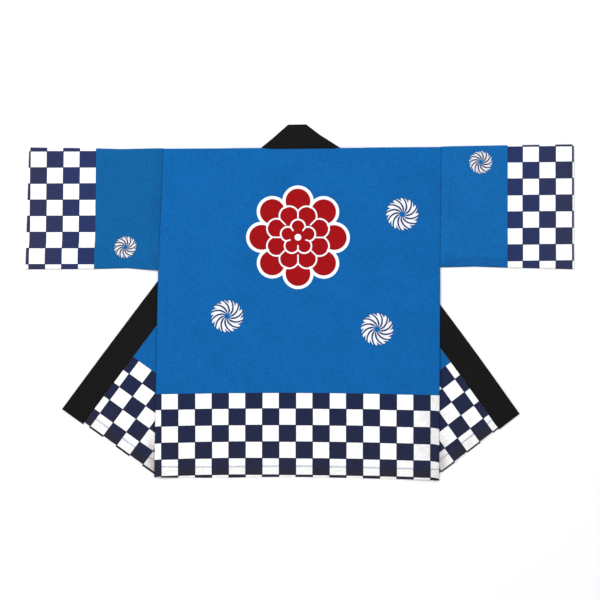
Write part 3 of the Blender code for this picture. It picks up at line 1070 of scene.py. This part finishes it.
def make_check_group(name):
    """Alternate white squares where the second coordinate is negative, narrowed by the dark ink."""
    inputs = {"Cloth": None, "Square": 0.04, "Gain": 0.0008}
    nodes, given, out = start_group(name, inputs, ("Band", "White"))
    wobble = nodes.uneven(given["Cloth"], 140.0)
    x, y = nodes.split(given["Cloth"])
    across = nodes.calc("MULTIPLY_ADD", wobble, PRINT_WOBBLE, x)
    down = nodes.calc("MULTIPLY_ADD", wobble, -PRINT_WOBBLE, nodes.times(y, -1.0))
    column = nodes.calc("FLOOR", nodes.calc("DIVIDE", across, given["Square"]))
    row = nodes.calc("FLOOR", nodes.calc("DIVIDE", down, given["Square"]))
    parity = nodes.calc("FLOORED_MODULO", nodes.plus(column, row), 2.0)
    half = nodes.times(given["Square"], 0.5)
    inside = nodes.calc("MINIMUM", *(nodes.calc("PINGPONG", way, half) for way in (across, down)))
    inside = nodes.step_up(nodes.minus(inside, given["Gain"]), -PRINT_SOFT, PRINT_SOFT)
    band = nodes.calc("GREATER_THAN", down, 0.0)
    even = nodes.calc("LESS_THAN", parity, 0.5)
    nodes.feed(out["Band"], band)
    nodes.feed(out["White"], nodes.times(nodes.times(even, band), inside))


def around_centre(nodes, given):
    """Coordinates from a motif's centre, and the distance from it as a share of its radius."""
    offset = nodes.vector("SUBTRACT", given["Cloth"], given["Centre"])
    return *nodes.split(offset), nodes.calc("DIVIDE", nodes.length(offset), given["Radius"])


def make_whirl_group(name):
    """Curved white blades with forked tips, drawn apart by thin dark lines."""
    inputs = {"Cloth": None, "Centre": None, "Radius": 0.04, "Turn": 0.0, "Blades": 12.0, "Swirl": 1.0}
    nodes, given, out = start_group(name, inputs | {"Gap": 0.108}, ("White", "Line"))
    x, y, radius = around_centre(nodes, given)
    angle = nodes.minus(nodes.calc("ARCTAN2", y, x), nodes.times(radius, given["Swirl"]))
    turns = nodes.calc("DIVIDE", nodes.plus(angle, given["Turn"]), 2.0 * math.pi)
    blade = nodes.calc("FRACT", nodes.times(turns, given["Blades"]))
    gap = nodes.calc("DIVIDE", given["Gap"], nodes.calc("MAXIMUM", radius, EVEN_GAP_FROM))
    open_gap = nodes.minus(nodes.calc("PINGPONG", blade, 0.5), gap)
    notch = nodes.calc("ABSOLUTE", nodes.minus(blade, NOTCH_AT))
    notch = nodes.minus(1.0, nodes.calc("DIVIDE", notch, NOTCH_WIDTH), clamp=True)
    rim = nodes.minus(nodes.minus(1.0, nodes.times(notch, NOTCH_DEPTH)), radius)
    white = nodes.times(nodes.step_up(open_gap, -0.02, 0.03), nodes.step_up(rim, -0.01, 0.03))
    white = nodes.times(white, nodes.step_up(radius, 0.12, 0.26))
    line = nodes.times(nodes.step_up(rim, -0.05, 0.0), nodes.step_up(radius, 0.16, 0.30))
    nodes.feed(out["White"], white)
    nodes.feed(out["Line"], nodes.minus(line, white, clamp=True))


def petal_ring(nodes, ring, radius, angle):
    """Distance outside a ring of round petals, and the slits between them."""
    half = math.pi / ring.petals
    folded = nodes.calc("WRAP", nodes.plus(angle, ring.turn), half, -half)
    along = nodes.minus(nodes.times(radius, nodes.calc("COSINE", folded)), ring.reach)
    across = nodes.times(radius, nodes.calc("SINE", folded))
    flat = nodes.put("ShaderNodeCombineXYZ", along, across).outputs[0]
    petal = nodes.minus(nodes.length(flat), ring.size)
    shape = nodes.calc("MINIMUM", petal, nodes.minus(radius, ring.reach * 0.96))
    spread = nodes.minus(half, nodes.calc("ABSOLUTE", folded))
    slit = nodes.step_down(nodes.times(radius, nodes.calc("SINE", spread)), *PETAL_SLIT)
    return shape, nodes.times(slit, nodes.step_up(radius, ring.slit_start, ring.slit_start + 0.02))


def make_blossom_group(name):
    """A full round blossom of three rings of petals, with white edges and a white heart."""
    inputs = {"Cloth": None, "Centre": None, "Radius": 0.12}
    nodes, given, out = start_group(name, inputs, ("Red", "Edge"))
    x, y, radius = around_centre(nodes, given)
    angle = nodes.calc("ARCTAN2", x, y)
    outer, pale = petal_ring(nodes, OUTER_PETALS, radius, angle)
    whole = nodes.step_down(outer, *PETAL_SOFT)
    inner = nodes.step_down(outer, *OUTER_BORDER)
    for ring in INNER_PETALS:
        shape, slit = petal_ring(nodes, ring, radius, angle)
        inside = nodes.step_down(shape, *PETAL_SOFT)
        border = nodes.times(inside, nodes.step_up(shape, *INNER_BORDER))
        own = nodes.calc("MAXIMUM", border, nodes.times(slit, inside))
        pale = nodes.calc("MAXIMUM", nodes.times(pale, nodes.minus(1.0, inside)), own)
    pale = nodes.calc("MAXIMUM", pale, nodes.step_down(radius, *HEART))
    red = nodes.times(inner, nodes.minus(1.0, pale))
    nodes.feed(out["Red"], red)
    nodes.feed(out["Edge"], nodes.minus(whole, red, clamp=True))


def make_weave_group(name):
    """Crossing warp and weft threads, with slubs along both ways of the cloth."""
    inputs = {"Cloth": None, "Spacing": 0.0008, "Slub": 1.0}
    nodes, given, out = start_group(name, inputs, ("Height", "Shade"))
    per_thread = nodes.calc("DIVIDE", math.pi, given["Spacing"])
    ways = nodes.split(given["Cloth"])
    warp, weft = (nodes.calc("SINE", nodes.times(way, per_thread)) for way in ways)
    threads = nodes.plus(nodes.calc("ABSOLUTE", warp), nodes.calc("ABSOLUTE", weft))
    height = nodes.plus(nodes.times(nodes.times(warp, weft), 0.5), nodes.times(threads, 0.5))
    shades = []
    for stretch in SLUB_STRETCHES:
        drawn = nodes.vector("MULTIPLY", given["Cloth"], stretch)
        shades.append(nodes.uneven(drawn, SLUB_SCALE, 3.0, 0.6))
    slubs = nodes.times(nodes.plus(*shades), given["Slub"])
    nodes.feed(out["Height"], nodes.plus(height, nodes.times(slubs, 2.0)))
    nodes.feed(out["Shade"], slubs)


def make_dye_group(name):
    """Uneven dye: cloudy patches and fine specks around 1."""
    inputs = {"Cloth": None, "Clouds": 0.05, "Specks": 0.05}
    nodes, given, out = start_group(name, inputs, ("Factor",))
    clouds = nodes.times(nodes.uneven(given["Cloth"], CLOUD_SCALE, 3.0, 0.6), given["Clouds"])
    specks = nodes.times(nodes.uneven(given["Cloth"], SPECK_SCALE, 3.0, 0.7), given["Specks"])
    nodes.feed(out["Factor"], nodes.plus(1.0, nodes.plus(clouds, specks)))


def make_seam_and_shade_group(name):
    """Painted shade in the groove along each seam and beside the body's edge, the edge of the seam
    allowance, the turned-up hem with its stitching line, and a greyed band beside the seams whose distance
    is positive, which on the flaps is painted shade in streaks."""
    inputs = {"Edges": None, "Hem": 0.0258, "Allowance": 0.022}
    inputs |= {"Reach": 0.030, "Low share": 0.0, "Hardness": 0.2}
    nodes, given, out = start_group(name, inputs, ("Shade", "Turned", "Stitching", "Greyed"))
    signed, to_hem = nodes.split(given["Edges"])
    to_seam = nodes.calc("ABSOLUTE", signed)
    # painted shade: darker within a few millimetres of a seam or of the body's edge, where the cloth dips
    ditch = nodes.step_down(to_seam, *DITCH)
    edge = nodes.calc("ABSOLUTE", nodes.minus(to_seam, given["Allowance"]))
    edge = nodes.times(nodes.step_down(edge, *ALLOWANCE_EDGE), ALLOWANCE_SHADE)
    nodes.feed(out["Shade"], nodes.minus(1.0, nodes.calc("MULTIPLY_ADD", ditch, DITCH_SHADE, edge)))
    above_line = nodes.minus(to_hem, given["Hem"])
    nodes.feed(out["Turned"], nodes.step_down(above_line, *TURNED_EDGE))
    # stitching line: the thread's tint, and painted shade of its groove
    to_line = nodes.calc("ABSOLUTE", above_line)
    nodes.feed(out["Stitching"], nodes.step_down(to_line, *STITCHING_WIDTH))
    # greyed band beside a seam, streaked; painted shade where it lies beside the body's edge on the flaps
    near = nodes.times(given["Reach"], given["Hardness"])
    beside = nodes.step_down(signed, near, given["Reach"])
    beside = nodes.times(beside, nodes.step_up(signed, 0.0, 0.0001))
    stretched = nodes.vector("MULTIPLY", given["Edges"], STREAK_SCALE)
    streaks = nodes.plus(nodes.noise(stretched, 1.0), 0.5)
    low = nodes.times(nodes.step_up(to_hem, *LOW_CLOTH), given["Low share"])
    nodes.feed(out["Greyed"], nodes.times(beside, nodes.times(streaks, nodes.minus(1.0, low))))


GROUPS = {
    "Check print": make_check_group,
    "Whirl print": make_whirl_group,
    "Blossom print": make_blossom_group,
    "Plain weave": make_weave_group,
    "Uneven dye": make_dye_group,
    "Sewn edges": make_seam_and_shade_group,
}


# Materials

MATT = {"Metallic": 0.0, "Specular IOR Level": 0.08, "Sheen Weight": 0.02, "Sheen Roughness": 0.6}
GREYED_BLUE = (0.0020, 0.0600, 0.2300)
DOUBLED_NAVY = (0.0185, 0.0188, 0.0345)
DOUBLED_WHITE = (0.86, 0.86, 0.85)
# Along the hem's stitching: partly the thread's tint, partly painted shade of the groove that the stitching
# draws in
STITCH_TINT_AND_GROOVE_SHADE = (0.32, 0.33, 0.44)
STITCH_TINT_AND_GROOVE_SHADE_SHARE = 0.52
FUZZ = (0.60, 0.56, 0.52)
FUZZ_SHARE = 0.013
BLADE_LINE = (0.030, 0.032, 0.090)
BLADE_LINE_SHARE = 0.85
REVERSE = (0.42, 0.50, 0.62)
REVERSE_SHARE = 0.30
NAVY_SQUARES = 4.2

Look = namedtuple("Look", "blue navies greyed whirls blossoms", defaults=((), ()))


def start_material(name):
    """A matt material, its nodes and its shader."""
    material = bpy.data.materials.new(name)
    material.use_nodes = True
    nodes = Nodes(material.node_tree)
    nodes.tree.nodes.clear()
    shader = nodes.put("ShaderNodeBsdfPrincipled")
    nodes.feed_named(shader, MATT)
    nodes.put("ShaderNodeOutputMaterial", shader.outputs[0])
    return material, nodes, shader


def finish_cotton(nodes, shader, color, weave, roughness, strength, depth):
    """Feeds the shader a colour, and the roughness and relief of the weave."""
    rough = nodes.calc("MULTIPLY_ADD", weave["Shade"], 0.15, roughness)
    bump = nodes.put("ShaderNodeBump")
    nodes.feed_named(bump, {"Strength": strength, "Distance": depth, "Height": weave["Height"]})
    nodes.feed_named(shader, {"Base Color": color, "Roughness": rough, "Normal": bump.outputs[0]})


def printed_cotton(name, sizes, colors, look, reverse=False):
    """Blue cotton with a checked band and motifs, with painted shade along the seams. The look's greyed
    shares tell how far blue and white are dulled beside a seam; on the flaps this is painted shade beside
    the body's edge. On the reverse the print is paler."""
    material, nodes, shader = start_material(name)
    cloth, greyed = nodes.uv_map("Cloth"), look.greyed
    check = nodes.group("Check print", Cloth=cloth, Square=sizes.check_square, Gain=sizes.dot_gain)
    sewing = nodes.group(
        "Sewn edges",
        Edges=nodes.uv_map("Edges"),
        Hem=sizes.hem_depth,
        Allowance=sizes.allowance,
        Reach=greyed.reach,
        Low_share=greyed.low_share,
        Hardness=greyed.hardness,
    )
    # greying beside the seams; on the flaps it is painted shade beside the body's edge
    blue = nodes.mix(nodes.times(sewing["Greyed"], greyed.blue), look.blue, GREYED_BLUE)
    down = nodes.step_down(nodes.split(cloth)[1], -NAVY_SQUARES * sizes.check_square, 0.0)
    navy = nodes.mix(sewing["Turned"], nodes.mix(down, *look.navies), DOUBLED_NAVY)
    white = nodes.mix(sewing["Turned"], colors.white, DOUBLED_WHITE)
    white = nodes.mix(nodes.times(sewing["Greyed"], greyed.white), white, greyed.tone)
    # the thread's tint and painted groove shade along the hem's stitching
    white = nodes.mix(nodes.times(sewing["Stitching"], STITCH_TINT_AND_GROOVE_SHADE_SHARE), white, STITCH_TINT_AND_GROOVE_SHADE)
    color = nodes.mix(check["White"], nodes.mix(check["Band"], blue, navy), white)
    fuzz = nodes.step_up(nodes.noise(cloth, 520.0, 3.0, 0.7), 0.44, 0.66)
    color = nodes.mix(nodes.times(fuzz, FUZZ_SHARE), color, FUZZ)
    for whirl in look.whirls:
        motif = nodes.group(
            "Whirl print",
            Cloth=cloth,
            Centre=(whirl.x, whirl.y, 0.0),
            Radius=whirl.radius,
            Turn=math.radians(whirl.turn_degrees),
            Swirl=whirl.swirl,
            Gap=whirl.gap,
        )
        color = nodes.mix(nodes.times(motif["Line"], BLADE_LINE_SHARE), color, BLADE_LINE)
        color = nodes.mix(motif["White"], color, whirl.color)
    for blossom in look.blossoms:
        centre = (blossom.x, blossom.y, 0.0)
        motif = nodes.group("Blossom print", Cloth=cloth, Centre=centre, Radius=blossom.radius)
        color = nodes.mix(motif["Edge"], color, colors.white)
        color = nodes.mix(motif["Red"], color, colors.red)
    weave = nodes.group("Plain weave", Cloth=cloth, Spacing=sizes.weave)
    dye = nodes.group("Uneven dye", Cloth=cloth, Clouds=0.24, Specks=0.50)
    # uneven dye, times the seam group's darkening: painted shade in the seams' grooves, and the allowance's
    # edge
    shade = nodes.times(dye["Factor"], sewing["Shade"])
    color = nodes.shaded(color, nodes.plus(shade, nodes.times(weave["Shade"], 0.55)))
    if reverse:
        color = nodes.mix(REVERSE_SHARE, color, REVERSE)
    finish_cotton(nodes, shader, color, weave, 0.86, 0.35, 0.00012)
    return material


def black_cotton(name, sizes, colors):
    """Matt black cotton of the collar, slightly dusty."""
    material, nodes, shader = start_material(name)
    cloth = nodes.uv_map("Cloth")
    weave = nodes.group("Plain weave", Cloth=cloth, Spacing=sizes.weave)
    dye = nodes.group("Uneven dye", Cloth=cloth, Clouds=0.35, Specks=0.25)
    color = nodes.shaded(colors.black, nodes.plus(dye["Factor"], nodes.times(weave["Shade"], 0.6)))
    finish_cotton(nodes, shader, color, weave, 0.9, 0.4, 0.00015)
    return material


def sewing_thread(name, color):
    """Twisted thread with a slight sheen."""
    material, nodes, shader = start_material(name)
    fibre = nodes.noise(nodes.put("ShaderNodeTexCoord").outputs["Object"], 2600.0)
    color = nodes.shaded(color, nodes.calc("MULTIPLY_ADD", fibre, 0.5, 0.75))
    rough = nodes.calc("MULTIPLY_ADD", fibre, 0.2, 0.5)
    nodes.feed_named(shader, {"Base Color": color, "Roughness": rough})
    return material


# Operators


def on_back(motif):
    """A motif at its place on the back's cloth."""
    x, y = back_coordinates(np.array([(motif.x, motif.y)]))[0][0]
    return motif._replace(x=x, y=y)


def on_sleeve(sleeve, sizes):
    """The sleeve's whirl at its place on the cloth of the upper layer."""
    whirl = sleeve.whirl
    tops = sleeve_edges(sleeve, np.linspace(0.0, 1.0, 65))[0]
    from_fold = np.interp(whirl.x, *tops[np.argsort(tops[:, 0])].T) - whirl.y
    place = np.array([(whirl.x, whirl.y)])
    x, y = sleeve_coordinates(sleeve, place, np.array([from_fold]), sizes)[0]
    return whirl._replace(x=x, y=y)


def finish_piece(obj, node):
    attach(obj, "root")
    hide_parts(node)


def finish_cloth(obj, node, scene, outside, inside):
    """Gives a panel its thickness and the looks of its two sides, and ties it to its solid."""
    sizes, colors = scene.happi_sizes, scene.happi_colors
    obj.data.materials.append(printed_cotton(node + "_print", sizes, colors, outside))
    obj.data.materials.append(printed_cotton(node + "_reverse", sizes, colors, inside, reverse=True))
    shell = obj.modifiers.new("Cloth", "SOLIDIFY")
    shell.thickness = sizes.shell
    shell.offset = 0.0
    shell.use_even_offset = True
    shell.use_quality_normals = True
    shell.material_offset = 1
    finish_piece(obj, node)


class HAPPI_OT_collar(bpy.types.Operator):
    """Adds the black collar band"""

    bl_idname = "happi.collar"
    bl_label = "Collar"

    def execute(self, context):
        sizes, colors = context.scene.happi_sizes, context.scene.happi_colors
        band = add_collar(sizes)
        band.data.materials.append(black_cotton("collar_cotton", sizes, colors))
        finish_piece(band, "collar")
        return {"FINISHED"}


class HAPPI_OT_fronts(bpy.types.Operator):
    """Adds both fronts, each folded outward under itself"""

    bl_idname = "happi.fronts"
    bl_label = "Fronts"

    def execute(self, context):
        colors = context.scene.happi_colors
        look = Look(colors.blue, (colors.navy, colors.edge_navy), Greyed())
        for front in FRONTS:
            piece = add_front(front, context.scene.happi_sizes)
            outside = look._replace(greyed=front.greyed)
            finish_cloth(piece, front.name, context.scene, outside, look)
        return {"FINISHED"}


class HAPPI_OT_back(bpy.types.Operator):
    """Adds the back panel with its prints"""

    bl_idname = "happi.back"
    bl_label = "Back"

    def execute(self, context):
        colors = context.scene.happi_colors
        whirls = [on_back(whirl) for whirl in BACK_WHIRLS]
        navies = (colors.navy, colors.edge_navy)
        inside = Look(colors.blue, navies, Greyed(), whirls, [on_back(BACK_BLOSSOM)])
        outside = inside._replace(greyed=BACK_GREYED)
        back = add_back(context.scene.happi_sizes)
        finish_cloth(back, "back", context.scene, outside, inside)
        return {"FINISHED"}


class HAPPI_OT_sleeves(bpy.types.Operator):
    """Adds both sleeves as flattened tubes"""

    bl_idname = "happi.sleeves"
    bl_label = "Sleeves"

    def execute(self, context):
        sizes, colors = context.scene.happi_sizes, context.scene.happi_colors
        for sleeve in SLEEVES:
            navies = (colors.cuff_navy, colors.cuff_edge_navy)
            look = Look(sleeve.blue, navies, sleeve.greyed, [on_sleeve(sleeve, sizes)])
            piece = add_sleeve(sleeve, sizes)
            finish_cloth(piece, sleeve.name, context.scene, look, look)
        return {"FINISHED"}


class HAPPI_OT_stitches(bpy.types.Operator):
    """Adds the stitching of the hems and the collar"""

    bl_idname = "happi.stitches"
    bl_label = "Stitching"

    def execute(self, context):
        sizes, colors = context.scene.happi_sizes, context.scene.happi_colors
        pale = sewing_thread("hem_thread", colors.thread)
        dark = sewing_thread("collar_thread", colors.black)
        for name, lines, material, slot in (
            ("back_hem_stitches", [back_hem_line(sizes)], pale, "back_cloth"),
            ("left_hem_stitches", [front_hem_line(LEFT_CUT, sizes)], pale, "front_cloth"),
            ("right_hem_stitches", [front_hem_line(RIGHT_CUT, sizes)], pale, "front_cloth"),
            ("collar_stitches", [collar_line(LEFT_CUT), collar_line(RIGHT_CUT)], dark, "collar_cloth"),
        ):
            stitches = add_stitches(name, [stitch_line(line, sizes) for line in lines], sizes)
            stitches.data.materials.append(material)
            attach(stitches, "root")
        return {"FINISHED"}


# Stage

PHOTO_PIXELS = 600
METRES_PER_PIXEL = 0.002394
PHOTO_ORIGIN_X = 299.65
PHOTO_ORIGIN_Y = 302.45
LENS = 100.0
SENSOR = 36.0
FLOOR_HALF = 6.0
SURROUNDINGS = 0.80
LAMP_AT = (-1.3, 1.7, 3.4)
LAMP_SIZE = 2.0
LAMP_POWER = 76.0


def add_floor():
    corners = FLOOR_HALF * np.array([(-1.0, -1.0, 0), (1.0, -1.0, 0), (1.0, 1.0, 0), (-1.0, 1.0, 0)])
    floor = add_mesh("floor", corners, [(0, 1, 2, 3)], {})
    material, nodes, shader = start_material("floor_paper")
    place = nodes.put("ShaderNodeTexCoord").outputs["Object"]
    tone = nodes.grey(nodes.calc("MULTIPLY_ADD", nodes.noise(place, 3.0), 0.01, 0.93))
    nodes.feed_named(shader, {"Base Color": tone, "Roughness": 0.95, "Sheen Weight": 0.0})
    floor.data.materials.append(material)


def add_light(scene):
    """Even white surroundings, and one large soft lamp above the coat's upper left."""
    world = bpy.data.worlds.new("studio")
    world.use_nodes = True
    surroundings = world.node_tree.nodes["Background"].inputs
    surroundings["Color"].default_value = (1.0, 1.0, 1.0, 1.0)
    surroundings["Strength"].default_value = SURROUNDINGS
    scene.world = world
    scene.view_settings.view_transform = "Standard"
    soft = bpy.data.lights.new("soft_lamp", "AREA")
    soft.size = LAMP_SIZE
    soft.energy = LAMP_POWER
    lamp = bpy.data.objects.new("soft_lamp", soft)
    lamp.location = LAMP_AT
    lamp.rotation_euler = (-lamp.location).to_track_quat("-Z", "Y").to_euler()
    scene.collection.objects.link(lamp)


def add_camera(scene):
    """Straight above the coat, with the photograph's frame on its surface."""
    data = bpy.data.cameras.new("camera")
    data.lens = LENS
    data.sensor_width = SENSOR
    camera = bpy.data.objects.new("camera", data)
    middle = PHOTO_PIXELS / 2.0
    camera.location = (
        (middle - PHOTO_ORIGIN_X) * METRES_PER_PIXEL,
        (PHOTO_ORIGIN_Y - middle) * METRES_PER_PIXEL,
        PHOTO_PIXELS * METRES_PER_PIXEL * LENS / SENSOR + COLLAR_THICK,
    )
    scene.collection.objects.link(camera)
    scene.camera = camera


class HAPPI_OT_stage(bpy.types.Operator):
    """Adds the floor, the light and the camera"""

    bl_idname = "happi.stage"
    bl_label = "Stage"

    def execute(self, context):
        add_floor()
        add_light(context.scene)
        add_camera(context.scene)
        return {"FINISHED"}


OPERATORS = (
    HAPPI_OT_collar,
    HAPPI_OT_fronts,
    HAPPI_OT_back,
    HAPPI_OT_sleeves,
    HAPPI_OT_stitches,
    HAPPI_OT_stage,
)


class HAPPI_PT_panel(bpy.types.Panel):
    """Lists the coat's pieces, sizes and colours"""

    bl_idname = "HAPPI_PT_panel"
    bl_label = "Happi Coat"
    bl_space_type = "VIEW_3D"
    bl_region_type = "UI"
    bl_category = "Happi Coat"

    def draw(self, context):
        for operator in OPERATORS:
            self.layout.operator(operator.bl_idname)
        for group in (context.scene.happi_sizes, context.scene.happi_colors):
            box = self.layout.box()
            for name in group.__annotations__:
                box.prop(group, name)


CLASSES = (HappiSizes, HappiColors, *OPERATORS, HAPPI_PT_panel)


def register():
    for cls in CLASSES:
        bpy.utils.register_class(cls)
    bpy.types.Scene.happi_sizes = bpy.props.PointerProperty(type=HappiSizes)
    bpy.types.Scene.happi_colors = bpy.props.PointerProperty(type=HappiColors)


def unregister():
    del bpy.types.Scene.happi_sizes
    del bpy.types.Scene.happi_colors
    for cls in reversed(CLASSES):
        bpy.utils.unregister_class(cls)


def main():
    register()
    bpy.ops.happi.collar()
    bpy.ops.happi.fronts()
    bpy.ops.happi.back()
    bpy.ops.happi.sleeves()
    bpy.ops.happi.stitches()
    bpy.ops.happi.stage()
    bpy.context.view_layer.update()


if __name__ == "__main__":
    main()
